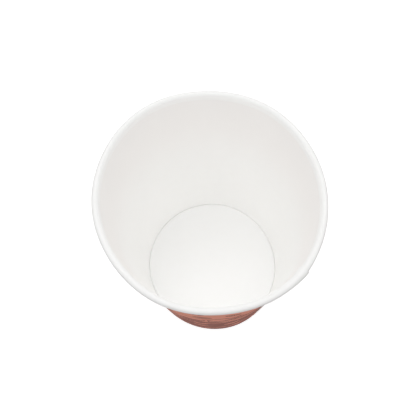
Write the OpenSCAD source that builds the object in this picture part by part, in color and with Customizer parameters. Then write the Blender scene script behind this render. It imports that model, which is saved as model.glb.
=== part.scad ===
// Paper coffee cup: a sidewall rolled from one printed board blank, with a
// lapped side seam, a curled rim and an in-turned foot hem, and a drawn board
// base whose skirt is gripped between the wall and the hem.
// The cup stands on z = 0 with its axis on Z. The front of the cup is at -Y.

/* [Cup] */
// Height over the curled rim
cup_h = 92; // [70:0.5:140]
// Outer diameter of the curled rim
rim_d = 80; // [72:0.5:92]
// Outer diameter of the foot that the cup stands on
foot_d = 56; // [46:0.5:62]

/* [Board] */
// Thickness of the sidewall board
wall_t = 0.38; // [0.3:0.01:0.5]
// Thickness of the base board
base_t = 0.32; // [0.22:0.01:0.45]

/* [Rim] */
// Outer diameter of the curl's section
curl_d = 2.5; // [2.2:0.1:3.6]
// How far the board is wound round in the curl, in degrees
curl_turn = 395; // [300:5:420]

/* [Base] */
// Depth of the recess under the base
recess_h = 6.3; // [5:0.1:12]
// Radius of the bend round the edge of the base
base_bend_r = 0.3; // [0.2:0.1:1.5]
// Height of the hem that is folded up inside the skirt
hem_h = 5; // [3:0.1:8]
// Width of the flat that the folded foot is pressed to
foot_flat = 0.5; // [0.3:0.05:0.7]

/* [Side seam] */
// Direction of the seam's inner edge round the cup, in degrees
seam_angle = -41; // [-180:1:180]
// Width of the lap, in degrees round the cup
lap_angle = 11; // [7:1:16]
// How far the lapped board takes to settle back to a true circle, in degrees
settle_angle = 28; // [16:1:60]

/* [Hidden] */
board_colour = "white";

// Film left between the base's skirt and the board on either side of it
seal_gap = 0.07;
// Space left between the turns of the curl
curl_gap = 0.07;
// How far the inner ply of the lap is pushed off the outer one: a little less
// than the board, because the lap is pressed together
lap_step = 0.82 * wall_t;
// The share of that step left where the lap is pressed hardest: at the foot
// and in the tucked end of the curl
pressed = 0.15;
// The share of it over the curl, where two plies wind less tightly than one,
// and the quarter turn over which it is reached
curl_lift = 1.3;
lift_over = 90;
// Height above the base at which the lap has its full step again
lap_rise = 7;

curl_r = curl_d / 2;
curl_x = rim_d / 2 - curl_r;
curl_z = cup_h - curl_r;
// Lean of the wall from upright. Its outer face runs from the foot's edge and
// passes the curl's centre at the curl's inner radius.
lean = acos((curl_r - wall_t) / norm([curl_x - foot_d / 2, curl_z]))
     - atan2(curl_z, curl_x - foot_d / 2);

// The fold at the foot turns round one centre, wide enough for the skirt
fold_r = wall_t + seal_gap + base_t / 2;
fold_z = sqrt(pow(fold_r, 2) - pow(foot_flat / 2, 2));
fold_x = outer_x(fold_z) - fold_r / cos(lean);

// Radius of the wall's outer face, and of its inner face, at a height
function outer_x(z) = foot_d / 2 + z * tan(lean);
function inner_x(z) = outer_x(z) - wall_t / cos(lean);
function mix(a, b, share) = a + (b - a) * share;
function smooth(share) = let (s = min(1, max(0, share))) s * s * (3 - 2 * s);
function polar(r, a) = [r * cos(a), r * sin(a)];

// The board is followed from the hem's top, round the fold, up the wall and
// round the curl. Each station is [point on the unprinted face, direction
// that the unprinted face looks in, share of the lap's step]. Both ends of the
// board are cut back by a trim.
fold_steps = 10;
curl_step = 15;
function hem_stations(trim) = [
    for (z = [hem_h - trim, mix(fold_z, hem_h, 0.5)])
        [[outer_x(z) - (2 * fold_r - wall_t) / cos(lean), z], polar(1, -lean), pressed]
];
fold_stations = [
    for (i = [fold_steps : -1 : 0])
        let (out = polar(1, -lean - 180 * i / fold_steps))
        [[fold_x, fold_z] + (fold_r - wall_t) * out, -out, pressed]
];
wall_low_z = recess_h + base_t;
wall_stations = [
    for (z = [mix(fold_z, wall_low_z, 0.5),
              for (i = [0 : 4]) wall_low_z + lap_rise * i / 4,
              mix(wall_low_z + lap_rise, curl_z, 0.5)])
        [[inner_x(z), z], polar(1, 180 - lean),
         mix(pressed, 1, smooth((z - wall_low_z) / lap_rise))]
];
// The curl tightens once it is past its outermost point, so that its end
// tucks in behind the wall
tighten_from = 180;
tighten_to = 325;
curl_from = 180 - lean;
function tightened(a) =
    smooth((curl_from - a - tighten_from) / (tighten_to - tighten_from));
function lap_share(a) =
    mix(mix(1, curl_lift, smooth((curl_from - a) / lift_over)), pressed, tightened(a));
function curl_stations(trim) =
    let (curl_to = curl_from - curl_turn + trim / curl_r * 180 / PI,
         first = curl_step * floor((curl_from - curl_step / 4) / curl_step))
    [for (a = [curl_from, for (a = [first : -curl_step : curl_to + curl_step / 4]) a,
               curl_to])
        [[curl_x, curl_z]
             + polar(curl_r - (wall_t + curl_gap) * tightened(a), a),
         polar(1, a), lap_share(a)]];
function stations(trim) = concat(hem_stations(trim), fold_stations, wall_stations,
                                 curl_stations(trim));

// The point at a distance off a station's unprinted face, no lower than a floor
function off(s, distance, floor = 0) =
    let (p = s[0] + distance * s[1]) [p.x, max(p.y, floor)];

// Section between the lines at two distances for each station
module section(all, near, far) {
    last = len(all) - 1;
    polygon(concat([for (i = [0 : last]) off(all[i], near[i])],
                   [for (i = [last : -1 : 0]) off(all[i], far[i])]));
}

// The board on its true circle. At the lap this is the outer ply.
module true_ply() {
    all = stations(0);
    section(all, [for (s = all) 0], [for (s = all) -wall_t]);
}

// The lap's inner ply, sunk in the outer one by half the board
module lapped_ply() {
    all = stations(ply_trim);
    section(all, [for (s = all) lap_step * s[2]], [for (s = all) -wall_t / 2]);
}

// The inner ply past the seam's outer edge, where it settles back on the true
// circle. It is swept as rows of its section, with a step that fades out. It
// is a hair thinner and narrower than the board, and its ends reach into the
// board on either side.
ply_rows = 13;
ply_trim = 0.03;
ply_reach = 1.2;
module settling_ply() {
    all = stations(2 * ply_trim);
    n = len(all);
    function place(p, a) = [p.x * cos(a), p.x * sin(a), p.y];
    points = [
        for (r = [0 : ply_rows])
            let (a = mix(-ply_reach, settle_angle + ply_reach, r / ply_rows),
                 step = lap_step * (1 - smooth(a / settle_angle)),
                 turn = -lap_angle - a)
            each concat(
                [for (s = all) place(off(s, step * s[2] - ply_trim, ply_trim), turn)],
                [for (s = all)
                    place(off(s, step * min(s[2], 1) - wall_t + ply_trim, ply_trim),
                          turn)])
    ];
    // The two faces, the two edges along the rows, then the two end sections
    faces = [
        for (r = [0 : ply_rows - 1], i = [0 : n - 2])
            let (p = r * 2 * n + i, q = p + 2 * n)
            each [[p, p + 1, q + 1], [p, q + 1, q],
                  [p + n, q + n, q + n + 1], [p + n, q + n + 1, p + n + 1]],
        for (r = [0 : ply_rows - 1], i = [0, n - 1])
            let (p = r * 2 * n + i, q = p + 2 * n)
            each (i == 0 ? [[p, q, q + n], [p, q + n, p + n]]
                         : [[p, q + n, q], [p, p + n, q + n]]),
        for (r = [0, ply_rows], i = [0 : n - 2])
            let (p = r * 2 * n + i)
            each (r == 0 ? [[p, p + n, p + n + 1], [p, p + n + 1, p + 1]]
                         : [[p, p + n + 1, p + n], [p, p + 1, p + n + 1]])
    ];
    polyhedron(points, faces);
}

// The sidewall: one board from the seam's outer edge round the true circle, its
// inner ply at the lap, and that ply on its way back to the true circle. The
// seam's inner edge is at angle 0 until all three are turned to its place.
module sidewall() {
    color(board_colour)
        rotate([0, 0, seam_angle]) {
            rotate([0, 0, -lap_angle])
                rotate_extrude(angle = 360 - settle_angle, $fn = 120) true_ply();
            rotate([0, 0, ply_reach / 2 - lap_angle])
                rotate_extrude(angle = lap_angle - ply_reach / 2, $fn = 120) lapped_ply();
            settling_ply();
        }
}

// The base: a disc drawn down at its edge into a skirt, which stands in the
// foot's fold and leans with the wall
base_steps = 6;
module base() {
    top_z = recess_h + base_t;
    skirt_z = fold_z;
    face_x = inner_x(0) - seal_gap / cos(lean);
    function skirt_x(z) = face_x + z * tan(lean);
    bend_r = base_bend_r + base_t;
    // Centre of the bend: its outer side touches the top and the skirt's face
    bend_z = top_z - bend_r;
    bend_x = skirt_x(bend_z) - bend_r / cos(lean);
    bend = [for (i = [0 : base_steps]) mix(90, -lean, i / base_steps)];
    color(board_colour)
        rotate_extrude($fn = 120)
            polygon(concat(
                [[0, top_z]],
                [for (a = bend) [bend_x, bend_z] + polar(bend_r, a)],
                [[skirt_x(skirt_z), skirt_z],
                 [skirt_x(skirt_z) - base_t / cos(lean), skirt_z]],
                [for (i = [base_steps : -1 : 0])
                    [bend_x, bend_z] + polar(base_bend_r, bend[i])],
                [[0, recess_h]]));
}

sidewall();
base();
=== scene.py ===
"""A paper coffee cup, seen from above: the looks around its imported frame."""
import math

import bmesh
import bpy
from mathutils import Matrix, Vector, noise


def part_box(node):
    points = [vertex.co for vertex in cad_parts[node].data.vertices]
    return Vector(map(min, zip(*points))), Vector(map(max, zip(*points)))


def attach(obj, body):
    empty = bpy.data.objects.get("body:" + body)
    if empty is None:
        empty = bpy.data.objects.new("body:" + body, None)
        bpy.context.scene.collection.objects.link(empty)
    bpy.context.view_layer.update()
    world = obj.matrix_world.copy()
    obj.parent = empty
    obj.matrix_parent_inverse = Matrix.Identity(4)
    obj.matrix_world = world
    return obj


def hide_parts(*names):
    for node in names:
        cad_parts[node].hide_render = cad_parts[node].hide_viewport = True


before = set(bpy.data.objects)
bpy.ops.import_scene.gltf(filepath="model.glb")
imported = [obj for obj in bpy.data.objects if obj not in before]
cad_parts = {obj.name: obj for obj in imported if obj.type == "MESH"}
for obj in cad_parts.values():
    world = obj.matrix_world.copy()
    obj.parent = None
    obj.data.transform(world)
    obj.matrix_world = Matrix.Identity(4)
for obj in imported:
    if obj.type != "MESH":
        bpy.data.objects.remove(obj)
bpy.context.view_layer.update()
MM = 0.001

# Sizes of the cup in metres, from the frame where it has them
_, wall_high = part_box("sidewall")
_, base_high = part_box("base")
RIM_R = wall_high.x
FOOT_R = 28 * MM
CUP_H = 92 * MM
WALL_T = 0.38 * MM
BASE_T = 0.32 * MM
BASE_TOP = base_high.z
BASE_BEND_R = 0.3 * MM + BASE_T
HEM_H = 5 * MM
SEAL_GAP = 0.07 * MM
FOOT_FLAT = 0.5 * MM
CURL_R = 1.25 * MM
CURL_GAP = 0.07 * MM

# How far the board is wound round the curl, and where it tightens, in degrees
CURL_TURN = 395
TIGHTEN_FROM = 180
TIGHTEN_TO = 325

# The side seam, in degrees: where its inner edge is, how wide the lap is, and
# how far the lapped ply takes to settle on the wall and on the curl
SEAM = -41
LAP = 11
SETTLE = 28
CURL_SETTLE = 17

# The share of the lap's step left at the foot and in the curl's end, and the
# height above the base at which the step is whole again
PRESSED = 0.15
LAP_RISE = 7 * MM

# The lap settles slowly on the wall and fast on the curl. Where up the wall it
# starts to change over, in what height, how far it has come where the curl
# starts, and in how many degrees of the curl it is all the way there
CURLED_FROM = 0.65 * CUP_H
CURLED_OVER = 0.3 * CUP_H
CURLED_AT_TOP = 0.6
CURLED_TURN = 50

CURL_X = RIM_R - CURL_R
CURL_Z = CUP_H - CURL_R
LEAN = (math.acos((CURL_R - WALL_T) / math.hypot(CURL_X - FOOT_R, CURL_Z))
        - math.atan2(CURL_Z, CURL_X - FOOT_R))
FOLD_R = WALL_T + SEAL_GAP + BASE_T / 2
FOLD_Z = math.sqrt(FOLD_R ** 2 - (FOOT_FLAT / 2) ** 2)


def smooth(share):
    """Eases a share from 0 to 1."""
    share = min(1, max(0, share))
    return share * share * (3 - 2 * share)


def mix(a, b, share):
    return a + (b - a) * share


def toward(degrees):
    """Unit vector in the XZ plane, at an angle from +X."""
    return Vector((math.cos(math.radians(degrees)), 0, math.sin(math.radians(degrees))))


def outer_x(z):
    """Radius of the wall's printed face at a height."""
    return FOOT_R + z * math.tan(LEAN)


def inner_x(z):
    """Radius of the wall's unprinted face at a height."""
    return outer_x(z) - WALL_T / math.cos(LEAN)


# The board's section, and how finely its stretches are divided

LEAN_DEG = math.degrees(LEAN)
WALL_ROWS = 30
FOLD_ROWS = 12
CURL_STEP = 10
HEM_ROWS = 4


def tightened(turn):
    """How far the curl has tucked in, at an angle round it."""
    return smooth((turn - TIGHTEN_FROM) / (TIGHTEN_TO - TIGHTEN_FROM))


def board_stations():
    """The board from the hem's top to the curl's end, as (point on the
    unprinted face, way that face looks, share of the lap's step, share of the
    curl in how that step fades)."""
    fold = Vector((outer_x(FOLD_Z) - FOLD_R / math.cos(LEAN), 0, FOLD_Z))
    stations = []
    for i in range(HEM_ROWS):
        z = mix(HEM_H, FOLD_Z, i / HEM_ROWS)
        x = outer_x(z) - (2 * FOLD_R - WALL_T) / math.cos(LEAN)
        stations.append((Vector((x, 0, z)), toward(-LEAN_DEG), PRESSED, 0))
    for i in range(FOLD_ROWS + 1):
        out = toward(-LEAN_DEG - 180 * (1 - i / FOLD_ROWS))
        stations.append((fold + (FOLD_R - WALL_T) * out, -out, PRESSED, 0))
    for i in range(1, WALL_ROWS):
        z = mix(FOLD_Z, CURL_Z, i / WALL_ROWS)
        share = mix(PRESSED, 1, smooth((z - BASE_TOP) / LAP_RISE))
        curled = CURLED_AT_TOP * smooth((z - CURLED_FROM) / CURLED_OVER)
        stations.append((Vector((inner_x(z), 0, z)), toward(180 - LEAN_DEG), share, curled))
    for i in range(CURL_TURN // CURL_STEP + 1):
        turn = i * CURL_STEP
        out = toward(180 - LEAN_DEG - turn)
        radius = CURL_R - (WALL_T + CURL_GAP) * tightened(turn)
        share = mix(1, PRESSED, tightened(turn))
        curled = mix(CURLED_AT_TOP, 1, smooth(turn / CURLED_TURN))
        stations.append((Vector((CURL_X, 0, CURL_Z)) + radius * out, out, share, curled))
    return stations


# Mesh making

# Degrees round the cup from one column of a sheet to the next
COLUMN = 1.25


def new_piece(name, bm, smooth_below=35):
    """A shaded object from a bmesh, with edges sharper than an angle kept."""
    mesh = bpy.data.meshes.new(name)
    bm.to_mesh(mesh)
    bm.free()
    piece = bpy.data.objects.new(name, mesh)
    bpy.context.scene.collection.objects.link(piece)
    mesh.polygons.foreach_set("use_smooth", [True] * len(mesh.polygons))
    mesh.set_sharp_from_angle(angle=math.radians(smooth_below))
    return piece


def thicken(bm, thickness):
    """Gives an open sheet its thickness, away from its normals. The far face
    takes the next material, and the cut edges the one after."""
    mesh = bpy.data.meshes.new("sheet")
    bm.to_mesh(mesh)
    bm.free()
    sheet = bpy.data.objects.new("sheet", mesh)
    bpy.context.scene.collection.objects.link(sheet)
    for _ in range(3):
        mesh.materials.append(None)
    board = sheet.modifiers.new("board", "SOLIDIFY")
    board.thickness = thickness
    board.offset = -1
    board.use_even_offset = True
    board.use_quality_normals = True
    board.material_offset = 1
    board.material_offset_rim = 2
    graph = bpy.context.evaluated_depsgraph_get()
    solid = bmesh.new()
    solid.from_mesh(sheet.evaluated_get(graph).to_mesh())
    bpy.data.objects.remove(sheet)
    bpy.data.meshes.remove(mesh)
    return solid


def spun_sheet(chain, start, sweep, columns):
    """Sweeps a chain of points about Z. Each vertex keeps its place in the
    chain and its column in two layers."""
    bm = bmesh.new()
    station = bm.verts.layers.int.new("station")
    column = bm.verts.layers.int.new("column")
    verts = []
    for i, point in enumerate(chain):
        verts.append(bm.verts.new(point))
        verts[-1][station] = i
    edges = [bm.edges.new(pair) for pair in zip(verts, verts[1:])]
    bmesh.ops.rotate(bm, verts=verts, cent=(0, 0, 0),
                     matrix=Matrix.Rotation(math.radians(start), 3, "Z"))
    bmesh.ops.spin(bm, geom=verts + edges, cent=(0, 0, 0), axis=(0, 0, 1), dvec=(0, 0, 0),
                   angle=math.radians(sweep), steps=columns, use_merge=False,
                   use_normal_flip=False, use_duplicate=False)
    bm.verts.ensure_lookup_table()
    for i, vert in enumerate(bm.verts):
        vert[column] = i // len(chain)
    return bm, station, column


# The sidewall

# How far the lapped ply stands off the outer one: a little over the board
LAP_STEP = 1.02 * WALL_T
# How far the rim and the foot are out of round, as the seam's stiffness leaves
# them: for each number of waves round, the size of its cosine and sine part
RIM_OUT_OF_ROUND = {1: (-0.010 * MM, -0.038 * MM), 2: (-0.300 * MM, -0.560 * MM),
                    3: (-0.045 * MM, -0.030 * MM), 4: (-0.198 * MM, -0.036 * MM),
                    5: (-0.068 * MM, -0.015 * MM), 6: (0.103 * MM, 0.044 * MM)}
FOOT_OUT_OF_ROUND = {1: (0.262 * MM, -0.230 * MM), 2: (-0.191 * MM, -0.331 * MM),
                     3: (-0.125 * MM, -0.088 * MM)}
# How far the curl is pushed out beside the seam's edge, and over how many degrees
EDGE_BULGE = 0.16 * MM
EDGE_BULGE_WIDTH = 5
# How high the board's unevenness is, and how closely it lies, in waves a metre
RIPPLE = 0.05 * MM
RIPPLE_WAVES = 70
# How deep the knurls are that grip the hem
KNURL_DEPTH = 0.05 * MM


def lap_step(past, curled):
    """How far the ply stands off the true circle, at an angle past its edge.
    On the wall it stays off across the whole lap. On the curl it falls off
    from its edge, where the board springs up most."""
    on_wall = 1 - smooth((past - LAP) / SETTLE)
    on_curl = 1 - smooth(past / CURL_SETTLE)
    return LAP_STEP * mix(on_wall, on_curl, curled)


def edge_bulge(past, curled):
    """How far the curl is pushed out, at an angle past the seam's edge."""
    off = (past + 180) % 360 - 180
    return EDGE_BULGE * math.exp(-(off / EDGE_BULGE_WIDTH) ** 2) * smooth(curled * 2 - 1)


def spread(out_of_round, angle):
    """How far the board stands out from its true circle, at an angle in radians."""
    return sum(c * math.cos(k * angle) + s * math.sin(k * angle)
               for k, (c, s) in out_of_round.items())


def bowed(point):
    """A point of the cup moved with the out-of-round rim and foot, and with the
    board's own faint unevenness, which fades out at the foot."""
    angle = math.atan2(point.y, point.x)
    height = max(0, point.z / CUP_H)
    moved = mix(spread(FOOT_OUT_OF_ROUND, angle), spread(RIM_OUT_OF_ROUND, angle),
                smooth(height))
    ripple = noise.noise(point * RIPPLE_WAVES) * RIPPLE * smooth(height * 3)
    away = Vector((math.cos(angle), math.sin(angle), 0))
    return point + away * (moved + ripple)


def make_sidewall():
    """The printed board, rolled, lapped, curled and hemmed."""
    stations = board_stations()
    columns = round((360 + LAP) / COLUMN)
    bm, station, column = spun_sheet([s[0] for s in stations], SEAM, -(360 + LAP), columns)
    uv = bm.loops.layers.uv.new("board")

    # How far each station is up the printed blank, in turns of the cup, so
    # that a print on it keeps its proportions all the way up the taper
    fold_end = HEM_ROWS + FOLD_ROWS // 2
    up = [0.0] * len(stations)
    for i in range(fold_end + 1, len(stations)):
        a, b = stations[i - 1][0], stations[i][0]
        up[i] = up[i - 1] + (b - a).length / (math.tau * max(a.x, FOOT_R))
    for i in range(fold_end - 1, -1, -1):
        up[i] = up[i + 1] - (stations[i][0] - stations[i + 1][0]).length / (math.tau * FOOT_R)

    for face in bm.faces:
        for loop in face.loops:
            vert = loop.vert
            loop[uv].uv = (vert[column] * COLUMN / 360, up[vert[station]])

    for vert in bm.verts:
        past = vert[column] * COLUMN
        _, look, share, curled = stations[vert[station]]
        turn = Matrix.Rotation(math.radians(SEAM - past), 3, "Z")
        off = lap_step(past, curled) * share + edge_bulge(past, curled)
        if 0 < vert[station] < HEM_ROWS:
            off -= KNURL_DEPTH * (vert[column] % 2)
        vert.co = bowed(vert.co + turn @ look * off)

    # The unprinted face looks to the axis on the wall
    bm.normal_update()
    on_wall = HEM_ROWS + FOLD_ROWS + WALL_ROWS // 2
    sample = next(f for f in bm.faces
                  if all(v[station] in (on_wall, on_wall + 1) for v in f.verts))
    if sample.normal.dot(sample.calc_center_median() * Vector((1, 1, 0))) > 0:
        bmesh.ops.reverse_faces(bm, faces=bm.faces[:])
    piece = new_piece("sidewall_board", thicken(bm, WALL_T))
    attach(piece, "root")
    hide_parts("sidewall")
    return piece


# The base

BEND_ROWS = 8
DISC_ROWS = 14
SKIRT_ROWS = 6
# How far the disc sags in the middle, how uneven it is, and in how many waves
# a metre
BASE_SAG = 0.12 * MM
BASE_RIPPLE = 0.03 * MM
BASE_RIPPLE_WAVES = 90


def make_base():
    """The white disc, with its bend and the skirt in the foot's fold."""
    face_x = inner_x(0)
    bend_z = BASE_TOP - BASE_BEND_R
    bend_x = face_x + bend_z * math.tan(LEAN) - BASE_BEND_R / math.cos(LEAN)
    chain = [Vector((bend_x * i / DISC_ROWS, 0, BASE_TOP)) for i in range(DISC_ROWS)]
    for i in range(BEND_ROWS + 1):
        chain.append(Vector((bend_x, 0, bend_z))
                     + BASE_BEND_R * toward(mix(90, -LEAN_DEG, i / BEND_ROWS)))
    for i in range(1, SKIRT_ROWS + 1):
        z = mix(chain[DISC_ROWS + BEND_ROWS].z, FOLD_Z, i / SKIRT_ROWS)
        chain.append(Vector((face_x + z * math.tan(LEAN), 0, z)))
    bm, _, _ = spun_sheet(chain, 0, 360, round(360 / COLUMN))
    bmesh.ops.remove_doubles(bm, verts=bm.verts[:], dist=1e-6)
    for vert in bm.verts:
        reach = math.hypot(vert.co.x, vert.co.y) / bend_x
        if reach < 1:
            vert.co.z -= BASE_SAG * (1 - reach ** 2) ** 2
            uneven = noise.noise(vert.co * BASE_RIPPLE_WAVES) * BASE_RIPPLE
            vert.co.z += uneven * (1 - reach ** 4)
        vert.co = vert.co.lerp(bowed(vert.co), min(1, reach))
    bm.normal_update()
    bm.faces.ensure_lookup_table()
    top = min(bm.faces, key=lambda f: f.calc_center_median().to_2d().length)
    if top.normal.z < 0:
        bmesh.ops.reverse_faces(bm, faces=bm.faces[:])
    piece = new_piece("base_disc", thicken(bm, BASE_T))
    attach(piece, "root")
    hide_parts("base")
    return piece


# Materials

# How high the board's fibres stand
FIBRE_HEIGHT = 0.02 * MM
CLOUD_SCALE = 260.0
FIBRE_SCALE = 2600.0


def put(tree, kind, sockets=None, **settings):
    """Adds a node, with its settings and with its inputs set or linked."""
    node = tree.nodes.new("ShaderNode" + kind)
    for name, setting in settings.items():
        setattr(node, name, setting)
    for name, source in (sockets or {}).items():
        if isinstance(source, bpy.types.NodeSocket):
            tree.links.new(source, node.inputs[name])
        else:
            node.inputs[name].default_value = source
    return node


def calc(tree, operation, *sources):
    """The result of a Math node."""
    return put(tree, "Math", dict(enumerate(sources)), operation=operation).outputs[0]


def rise(tree, source, low, high, bottom=0.0, top=1.0):
    """A smooth step from low to high."""
    sockets = {"Value": source, "From Min": low, "From Max": high,
               "To Min": bottom, "To Max": top}
    return put(tree, "MapRange", sockets, interpolation_type="SMOOTHSTEP").outputs[0]


def tint(tree, factor, first, second):
    """A colour between two colours."""
    return put(tree, "Mix", {0: factor, 6: first, 7: second}, data_type="RGBA").outputs[2]


def noise_of(tree, vector, scale, detail, roughness):
    """A Noise Texture's values."""
    sockets = {"Vector": vector, "Scale": scale, "Detail": detail, "Roughness": roughness}
    return put(tree, "TexNoise", sockets).outputs[0]


def new_group(name, inputs, outputs):
    """An empty node group, with its input and output nodes."""
    group = bpy.data.node_groups.new(name, "ShaderNodeTree")
    for label, kind, start in inputs:
        socket = group.interface.new_socket(label, in_out="INPUT", socket_type=kind)
        socket.default_value = start
    for label, kind in outputs:
        group.interface.new_socket(label, in_out="OUTPUT", socket_type=kind)
    return group, group.nodes.new("NodeGroupInput"), group.nodes.new("NodeGroupOutput")


def paperboard_group():
    """The cloudiness of paper and the lie of its fibres."""
    group, given, result = new_group(
        "paperboard",
        [("Cloud scale", "NodeSocketFloat", CLOUD_SCALE),
         ("Fibre scale", "NodeSocketFloat", FIBRE_SCALE)],
        [("Cloud", "NodeSocketFloat"), ("Fibres", "NodeSocketFloat")])
    where = put(group, "TexCoord").outputs["Object"]
    cloud = noise_of(group, where, given.outputs["Cloud scale"], 3.0, 0.6)
    fine = noise_of(group, where, given.outputs["Fibre scale"], 3.0, 0.65)
    group.links.new(rise(group, cloud, 0.3, 0.7), result.inputs["Cloud"])
    group.links.new(fine, result.inputs["Fibres"])


def new_material(name):
    """An empty material, with its node tree and output."""
    material = bpy.data.materials.new(name)
    material.use_nodes = True
    tree = material.node_tree
    tree.nodes.clear()
    output = tree.nodes.new("ShaderNodeOutputMaterial")
    return material, tree, output


def board_finish(name, pale, deep, roughness, relief, cloud_scale=CLOUD_SCALE, specular=0.5,
                 tones=()):
    """White board: its colour wanders between two tones with the cloudiness of
    the paper, and its fibres raise the surface a little. Further tones are each
    reached between two heights up the printed blank."""
    material, tree, output = new_material(name)
    paper = put(tree, "Group", node_tree=bpy.data.node_groups["paperboard"])
    paper.inputs["Cloud scale"].default_value = cloud_scale
    cloud, fibres = paper.outputs["Cloud"], paper.outputs["Fibres"]
    bump = put(tree, "Bump", {"Height": fibres, "Strength": relief,
                               "Distance": FIBRE_HEIGHT})
    colour = tint(tree, cloud, (*deep, 1), (*pale, 1))
    if tones:
        place = put(tree, "UVMap", uv_map="board").outputs[0]
        up = put(tree, "SeparateXYZ", {0: place}).outputs[1]
        for low, high, tone in tones:
            colour = tint(tree, rise(tree, up, low, high), colour, (*tone, 1))
    sockets = {"Base Color": colour,
               "Roughness": rise(tree, fibres, 0.2, 0.8, roughness - 0.05, roughness + 0.05),
               "Specular IOR Level": specular, "Normal": bump.outputs[0]}
    finish = put(tree, "BsdfPrincipled", sockets)
    tree.links.new(finish.outputs[0], output.inputs["Surface"])
    return material


def up_blank(z):
    """How far a height on the wall is up the blank's map."""
    return math.log(inner_x(z) / inner_x(0)) / (math.tau * math.sin(LEAN))


# The print's colours, then its places up the blank, in turns of the cup
CORAL = (0.97, 0.41, 0.30)
BROWN = (0.395, 0.158, 0.128)
WORN_INK = (0.86, 0.72, 0.66)
PLAIN_BOARD = (0.86, 0.85, 0.83)
INK_STARTS = -0.020
# The brown's top edge, and the waves in it as (waves round the cup, size, phase)
BROWN_TOP = 0.228
BROWN_TOP_WAVES = ((3, 0.020, 0.4), (5, 0.010, 2.1), (8, 0.005, 4.0))
# Coral strokes in the brown: how far below its top, how wide, and their phase
STROKES = ((0.024, 0.0085, 0.3), (0.055, 0.0060, 1.9), (0.165, 0.0070, 3.1))
# The one brown stroke in the coral: its place, how wide it is, and its waves
BROWN_STROKE = 0.262
BROWN_STROKE_WIDTH = 0.0040
BROWN_STROKE_WAVES = ((3, 0.019, 0.3), (5, 0.012, 1.7))
# How fine the brush's grain is round the cup, how much it is drawn out along
# the strokes, and how fine the ragged edge is
BRISTLES = 2.6
DRAWN_OUT = 60
RAGS = 9.0
# Cells of the motifs round the cup, how far a motif strays in its cell, the
# share of cells with a bean and not a leaf, and which rows of cells are filled
REPEATS = 16
STRAY = 0.14
BEAN_SHARE = 0.55
FIRST_ROW = -0.25
LAST_ROW = 5.75
MOTIF_SEED = 3.7
# Sizes of the motifs, in cells
BEAN_HALF_LENGTH = 0.29
BEAN_HALF_WIDTH = 0.19
SLIT_BEND = 0.036
SLIT_TURNS = 10.5
LEAF_CENTRE = 0.32
LEAF_RADIUS = 0.485
VEINS = 9


def motif_cells(tree, across, up):
    """Staggered cells round the cup. Gives each cell's own turned coordinates,
    a random number, and how many rows up the cell starts."""
    u = calc(tree, "MULTIPLY", across, REPEATS)
    column = calc(tree, "FLOOR", u)
    odd = calc(tree, "MODULO", column, 2)
    v = calc(tree, "MULTIPLY_ADD", odd, 0.5, calc(tree, "MULTIPLY", up, REPEATS))
    row = calc(tree, "FLOOR", v)
    seed = put(tree, "CombineXYZ", {0: calc(tree, "MODULO", column, REPEATS), 1: row,
                                    2: MOTIF_SEED})
    chance = put(tree, "TexWhiteNoise", {"Vector": seed.outputs[0]}, noise_dimensions="3D")
    parts = put(tree, "SeparateColor", {0: chance.outputs["Color"]})
    x = calc(tree, "SUBTRACT", calc(tree, "FRACT", u), 0.5)
    y = calc(tree, "SUBTRACT", calc(tree, "FRACT", v), 0.5)
    x = calc(tree, "ADD", x, rise(tree, parts.outputs[1], 0, 1, -STRAY, STRAY))
    y = calc(tree, "ADD", y, rise(tree, parts.outputs[2], 0, 1, -STRAY, STRAY))
    turn = calc(tree, "MULTIPLY", parts.outputs[0], math.tau)
    cos, sin = calc(tree, "COSINE", turn), calc(tree, "SINE", turn)
    turned_x = calc(tree, "SUBTRACT", calc(tree, "MULTIPLY", x, cos),
                    calc(tree, "MULTIPLY", y, sin))
    turned_y = calc(tree, "ADD", calc(tree, "MULTIPLY", x, sin),
                    calc(tree, "MULTIPLY", y, cos))
    starts = calc(tree, "MULTIPLY_ADD", odd, -0.5, row)
    return turned_x, turned_y, chance.outputs["Value"], starts


def bean(tree, x, y):
    """A bean: an ellipse with an S-shaped slit."""
    long_way = calc(tree, "DIVIDE", y, BEAN_HALF_LENGTH)
    wide_way = calc(tree, "DIVIDE", x, BEAN_HALF_WIDTH)
    reach = calc(tree, "ADD", calc(tree, "POWER", long_way, 2),
                 calc(tree, "POWER", wide_way, 2))
    body = rise(tree, reach, 1.06, 0.94)
    bend = calc(tree, "MULTIPLY", calc(tree, "SINE", calc(tree, "MULTIPLY", y, SLIT_TURNS)),
                SLIT_BEND)
    off = calc(tree, "ABSOLUTE", calc(tree, "SUBTRACT", x, bend))
    slit = rise(tree, off, 0.028, 0.019)
    return calc(tree, "MULTIPLY", body, calc(tree, "SUBTRACT", 1, slit))


def leaf(tree, x, y):
    """A leaf: where two circles cross, with a midrib and veins."""
    side = calc(tree, "ABSOLUTE", x)
    reach = calc(tree, "ADD", calc(tree, "POWER", calc(tree, "ADD", side, LEAF_CENTRE), 2),
                 calc(tree, "POWER", y, 2))
    body = rise(tree, calc(tree, "SQRT", reach), LEAF_RADIUS + 0.004, LEAF_RADIUS - 0.004)
    rib = rise(tree, side, 0.017, 0.011)
    vein_at = calc(tree, "MULTIPLY", calc(tree, "SUBTRACT", y, side), VEINS)
    vein = rise(tree, calc(tree, "PINGPONG", vein_at, 0.5), 0.10, 0.05)
    cut = calc(tree, "MAXIMUM", rib, vein)
    return calc(tree, "MULTIPLY", body, calc(tree, "SUBTRACT", 1, cut))


def wave(tree, across, *terms):
    """A sum of sines round the cup, each given as (waves, size, phase)."""
    total = 0.0
    for waves, size, phase in terms:
        angle = calc(tree, "MULTIPLY_ADD", across, math.tau * waves, phase)
        total = calc(tree, "MULTIPLY_ADD", calc(tree, "SINE", angle), size, total)
    return total


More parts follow.
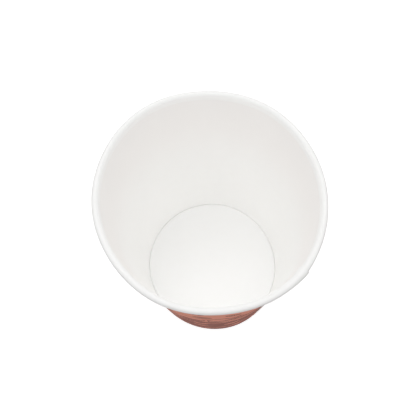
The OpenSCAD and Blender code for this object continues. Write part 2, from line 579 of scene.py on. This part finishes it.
def brush_stroke(tree, up, centre, width, grain):
    """A painted line along the cup, worn through by a dry-brush grain."""
    off = calc(tree, "ABSOLUTE", calc(tree, "SUBTRACT", up, centre))
    body = rise(tree, calc(tree, "DIVIDE", off, width), 1.1, 0.9)
    return calc(tree, "MULTIPLY", body, grain)


def brown_print(tree):
    """Where the print is brown and not coral: a brushed band round the lower
    cup, with beans and leaves that change colour where it starts."""
    place = put(tree, "UVMap", uv_map="board").outputs[0]
    axes = put(tree, "SeparateXYZ", {0: place})
    across, up = axes.outputs[0], axes.outputs[1]

    # The print runs round the cup without a break, so its grain does too
    ring = put(tree, "CombineXYZ", {
        0: calc(tree, "COSINE", calc(tree, "MULTIPLY", across, math.tau)),
        1: calc(tree, "SINE", calc(tree, "MULTIPLY", across, math.tau)),
        2: calc(tree, "MULTIPLY", up, DRAWN_OUT)}).outputs[0]
    bristle = noise_of(tree, ring, BRISTLES, 4.0, 0.7)
    ragged = noise_of(tree, ring, RAGS, 3.0, 0.6)

    edge = wave(tree, across, *BROWN_TOP_WAVES)
    edge = calc(tree, "ADD", edge, BROWN_TOP)
    edge = calc(tree, "ADD", edge, rise(tree, ragged, 0.2, 0.8, -0.006, 0.006))
    band = rise(tree, calc(tree, "SUBTRACT", edge, up), -0.0008, 0.0008)

    strokes = 0.0
    worn = rise(tree, bristle, 0.46, 0.52)
    for drop, width, phase in STROKES:
        sway = wave(tree, across, (3, 0.018, 0.55 + phase * 0.2), (5, 0.008, 2.4 + phase))
        centre = calc(tree, "ADD", sway, BROWN_TOP - drop)
        strokes = calc(tree, "MAXIMUM", strokes, brush_stroke(tree, up, centre, width, worn))
    sway = wave(tree, across, *BROWN_STROKE_WAVES)
    above = brush_stroke(tree, up, calc(tree, "ADD", sway, BROWN_STROKE),
                         BROWN_STROKE_WIDTH, rise(tree, bristle, 0.54, 0.50))

    x, y, chance, starts = motif_cells(tree, across, up)
    pick = rise(tree, chance, BEAN_SHARE - 0.001, BEAN_SHARE + 0.001)
    motif = put(tree, "Mix", {0: pick, 2: bean(tree, x, y), 3: leaf(tree, x, y)}).outputs[0]
    motif = calc(tree, "MULTIPLY", motif, calc(tree, "LESS_THAN", starts, LAST_ROW))
    motif = calc(tree, "MULTIPLY", motif, calc(tree, "GREATER_THAN", starts, FIRST_ROW))

    brown = calc(tree, "MULTIPLY", band, calc(tree, "SUBTRACT", 1, strokes))
    brown = calc(tree, "MAXIMUM", brown, above)
    return calc(tree, "ABSOLUTE", calc(tree, "SUBTRACT", brown, motif)), up


def printed_finish():
    """The cup's outside: two inks on white board, white again past the foot."""
    material, tree, output = new_material("printed_board")
    paper = put(tree, "Group", node_tree=bpy.data.node_groups["paperboard"])
    cloud, fibres = paper.outputs["Cloud"], paper.outputs["Fibres"]
    brown, up = brown_print(tree)
    thin = rise(tree, cloud, 0, 1, 0.0, 0.04)
    ink = tint(tree, brown, (*CORAL, 1), (*BROWN, 1))
    ink = tint(tree, thin, ink, (*WORN_INK, 1))
    inked = rise(tree, up, INK_STARTS - 0.0005, INK_STARTS + 0.0005)
    colour = tint(tree, inked, (*PLAIN_BOARD, 1), ink)
    bump = put(tree, "Bump", {"Height": fibres, "Strength": 0.25, "Distance": FIBRE_HEIGHT})
    finish = put(tree, "BsdfPrincipled", {
        "Base Color": colour, "Roughness": rise(tree, fibres, 0.2, 0.8, 0.68, 0.78),
        "Specular IOR Level": 0.06, "Normal": bump.outputs[0]})
    tree.links.new(finish.outputs[0], output.inputs["Surface"])
    return material


def give(piece, *materials):
    """Fills the piece's material slots, in order."""
    for material in materials:
        piece.data.materials.append(material)


# The stage

FLOOR_HALF_SIDE = 1.5
# The glow that whitens the floor to look at, and the light that the room gives
FLOOR_GLOW = 0.66
ROOM_LIGHT = 0.70


def seen_rays(tree):
    """1 for rays that see the background, and 0 for those that light the cup."""
    path = put(tree, "LightPath")
    return calc(tree, "MAXIMUM", path.outputs["Is Camera Ray"],
                calc(tree, "MAXIMUM", path.outputs["Is Glossy Ray"],
                     path.outputs["Is Transmission Ray"]))


def make_floor():
    """A pale floor, which keeps the cup's shadow."""
    bm = bmesh.new()
    bmesh.ops.create_grid(bm, x_segments=1, y_segments=1, size=FLOOR_HALF_SIDE)
    floor = new_piece("floor", bm)
    material, tree, output = new_material("pale_floor")
    seen = seen_rays(tree)
    # Pale to look at, but it throws little light back up under the rim
    tone = tint(tree, seen, (0.2, 0.2, 0.2, 1), (0.7, 0.7, 0.7, 1))
    finish = put(tree, "BsdfPrincipled", {"Base Color": tone, "Roughness": 0.9,
                                          "Specular IOR Level": 0.0})
    glow = put(tree, "Emission", {"Color": (1, 1, 1, 1),
                                  "Strength": calc(tree, "MULTIPLY", seen, FLOOR_GLOW)})
    both = put(tree, "AddShader", {0: finish.outputs[0], 1: glow.outputs[0]})
    tree.links.new(both.outputs[0], output.inputs["Surface"])
    give(floor, material)


def make_world():
    """A white backdrop for the camera, and an evenly lit room for the cup."""
    world = bpy.data.worlds.new("studio")
    bpy.context.scene.world = world
    world.use_nodes = True
    tree = world.node_tree
    tree.nodes.clear()
    output = tree.nodes.new("ShaderNodeOutputWorld")
    strength = put(tree, "Mix", {0: seen_rays(tree), 2: ROOM_LIGHT, 3: 1.0}).outputs[0]
    backdrop = put(tree, "Background", {"Color": (1, 1, 1, 1), "Strength": strength})
    tree.links.new(backdrop.outputs[0], output.inputs["Surface"])


# What the softboxes look at, and how far off they stand, in metres
LAMP_AIM = Vector((0, 0, 30 * MM))
LAMP_FAR = 1.2


def add_softbox(name, tilt, around, half_width, level):
    """A round softbox at an angle from upright and round from +X, in degrees.
    Half width is its radius in degrees, seen from the cup. Level is what it adds
    to a white card that faces it."""
    lamp = bpy.data.lights.new(name, "AREA")
    lamp.shape = "DISK"
    radius = LAMP_FAR * math.tan(math.radians(half_width))
    lamp.size = 2 * radius
    lamp.energy = level * (math.pi * radius / math.sin(math.radians(half_width))) ** 2
    flat = math.sin(math.radians(tilt))
    away = Vector((flat * math.cos(math.radians(around)), flat * math.sin(math.radians(around)),
                   math.cos(math.radians(tilt))))
    box = bpy.data.objects.new(name, lamp)
    box.location = LAMP_AIM + LAMP_FAR * away
    box.rotation_euler = away.to_track_quat("Z", "Y").to_euler()
    bpy.context.scene.collection.objects.link(box)


# The camera, fitted to the photograph: the picture's side and the focal length
# in pixels, its place, and its turns in radians
IMAGE_SIDE = 420
CAMERA_FOCAL = 698.7
CAMERA_PLACE = Vector((0, -82.94, 309.5)) * MM
CAMERA_PITCH = 1.2273
CAMERA_YAW = -0.001
CAMERA_ROLL = -0.030
SENSOR_SIDE = 36


def add_camera():
    """The photograph's view: down into the cup from the front."""
    pitch, yaw, roll = CAMERA_PITCH, CAMERA_YAW, CAMERA_ROLL
    ahead = Vector((math.sin(yaw) * math.cos(pitch), math.cos(yaw) * math.cos(pitch),
                    -math.sin(pitch)))
    level = ahead.cross(Vector((0, 0, 1))).normalized()
    upright = level.cross(ahead)
    right = math.cos(roll) * level + math.sin(roll) * upright
    top = -math.sin(roll) * level + math.cos(roll) * upright
    lens = bpy.data.cameras.new("camera")
    lens.sensor_width = SENSOR_SIDE
    lens.lens = SENSOR_SIDE * CAMERA_FOCAL / IMAGE_SIDE
    lens.clip_start = 10 * MM
    camera = bpy.data.objects.new("camera", lens)
    camera.matrix_world = Matrix.Translation(CAMERA_PLACE) @ Matrix(
        (right, top, -ahead)).transposed().to_4x4()
    bpy.context.scene.collection.objects.link(camera)
    bpy.context.scene.camera = camera


add_camera()
sidewall = make_sidewall()
base = make_base()

paperboard_group()
coated = board_finish("coated_white", (0.950, 0.953, 0.952), (0.943, 0.945, 0.943),
                      roughness=0.48, relief=0.18)
# The upper wall is tinted a little pinker and darker. Close under the curl the
# wall is painted lighter, a painted highlight, and over the curl the board is
# painted darker, painted shade
lining_tint_and_painted_light = ((up_blank(48 * MM), up_blank(80 * MM), (0.962, 0.944, 0.931)),
                (up_blank(CURL_Z - 1.6 * MM), up_blank(CURL_Z - 0.8 * MM), (0.985, 0.985, 0.975)),
                (up_blank(CURL_Z) + 0.001, up_blank(CURL_Z) + 0.007, (0.860, 0.858, 0.849)))
lining = board_finish("coated_white_wall", (0.974, 0.973, 0.966), (0.967, 0.965, 0.957),
                      roughness=0.48, relief=0.18, tones=lining_tint_and_painted_light)
bare = board_finish("bare_white", (0.88, 0.87, 0.845), (0.84, 0.83, 0.80),
                    roughness=0.8, relief=0.5, cloud_scale=420.0, specular=0.3)
# The cut edges are darker than bare board: partly the raw edge's own tone, partly painted shade
# for the shadow beside the seam's step
cut = board_finish("cut_edge_and_painted_shade", (0.72, 0.68, 0.62), (0.60, 0.55, 0.49),
                   roughness=0.85, relief=0.9, cloud_scale=1500.0, specular=0.2)
give(sidewall, lining, printed_finish(), cut)
give(base, coated, bare, cut)

make_floor()
make_world()
add_softbox("left_softbox", tilt=24, around=180, half_width=13, level=0.095)
add_softbox("right_softbox", tilt=24, around=0, half_width=13, level=0.055)
add_softbox("back_softbox", tilt=28, around=90, half_width=13, level=0.17)
add_softbox("front_softbox", tilt=24, around=270, half_width=13, level=0.052)

# A white cup is lit inside by light that goes from wall to wall many times
bpy.context.scene.cycles.diffuse_bounces = 12
bpy.context.scene.cycles.max_bounces = 16
bpy.context.scene.view_settings.view_transform = "Standard"
